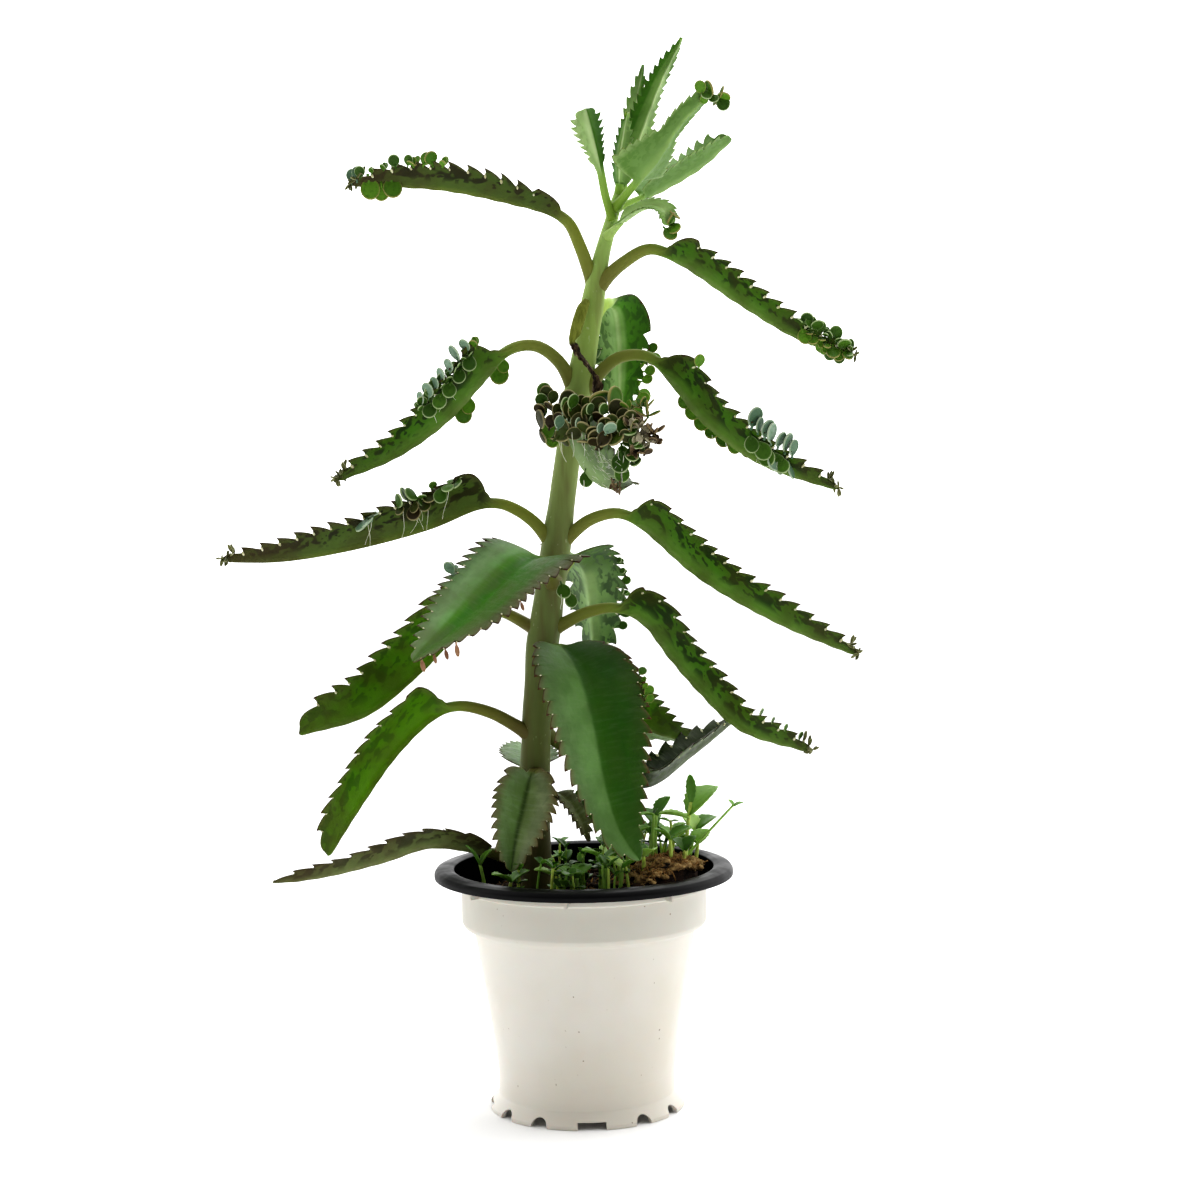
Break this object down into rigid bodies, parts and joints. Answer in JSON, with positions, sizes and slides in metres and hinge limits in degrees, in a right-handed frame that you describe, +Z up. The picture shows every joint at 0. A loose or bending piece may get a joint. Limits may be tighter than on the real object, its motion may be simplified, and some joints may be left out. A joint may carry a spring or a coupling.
{
  "type": "potted kalanchoe",
  "caption": "Potted mother-of-thousands: a leaning stem with opposite, folded, saw-toothed leaves bearing plantlets, rooted in peat in a small two-colour nursery pot.",
  "frame": {"origin": "under the middle of the whole plant, at the level of the pot's foot that it stands on; the pot's axis is 13 mm to the right of it and 3 mm behind it", "axes": "+Z up, along the pot's axis, +X to the right and -Y to the front of the plant as pictured, towards which the large third-pair leaf hangs"},
  "size_m": [0.212, 0.1104, 0.3625],
  "materials": {
    "white_plastic": "satin moulded",
    "black_plastic": "satin moulded",
    "peat": "crumbly, fibrous, matt",
    "stem_green": "smooth, waxy, matt",
    "leaf_green": "fleshy, waxy, dark blotches underneath",
    "leaf_old": "fleshy, dull grey-brown green",
    "leaf_dry": "dry, wrinkled",
    "sprout_green": "smooth, fresh"
  },
  "bodies": {
    "root": {"pot_wall": "white_plastic", "pot_lining": "black_plastic", "soil": "peat", "stem": "stem_green", "leaf_soil_left": "leaf_old", "leaf_a_front": "leaf_green", "leaf_a_back": "leaf_green", "leaf_a_side": "leaf_old", "leaf_b_left": "leaf_green", "leaf_b_back": "leaf_green", "leaf_c_front": "leaf_green", "leaf_c_back": "leaf_green", "leaf_d_left": "leaf_green", "leaf_d_right": "leaf_green", "leaf_e_front": "leaf_green", "leaf_e_back": "leaf_green", "leaf_f_left": "leaf_green", "leaf_f_right": "leaf_green", "leaf_g_front": "leaf_green", "leaf_h_left": "leaf_green", "leaf_h_right": "leaf_green", "leaf_i_front_withered": "leaf_dry", "leaf_i_back": "leaf_green", "leaf_j_left": "leaf_green", "leaf_j_right": "leaf_green", "leaf_k_right": "leaf_green", "leaf_l_left": "leaf_green", "leaf_l_behind": "leaf_green", "leaf_l_right": "leaf_green", "growing_tip": "leaf_green", "sprout_01": "sprout_green", "sprout_02": "sprout_green", "sprout_03": "sprout_green", "sprout_04": "sprout_green", "sprout_05": "sprout_green", "sprout_06": "sprout_green", "sprout_07": "sprout_green", "sprout_08": "sprout_green", "sprout_09": "sprout_green", "sprout_10": "sprout_green", "sprout_11": "sprout_green", "sprout_12": "sprout_green", "sprout_13": "sprout_green", "sprout_14": "sprout_green"}
  },
  "joints": []
}
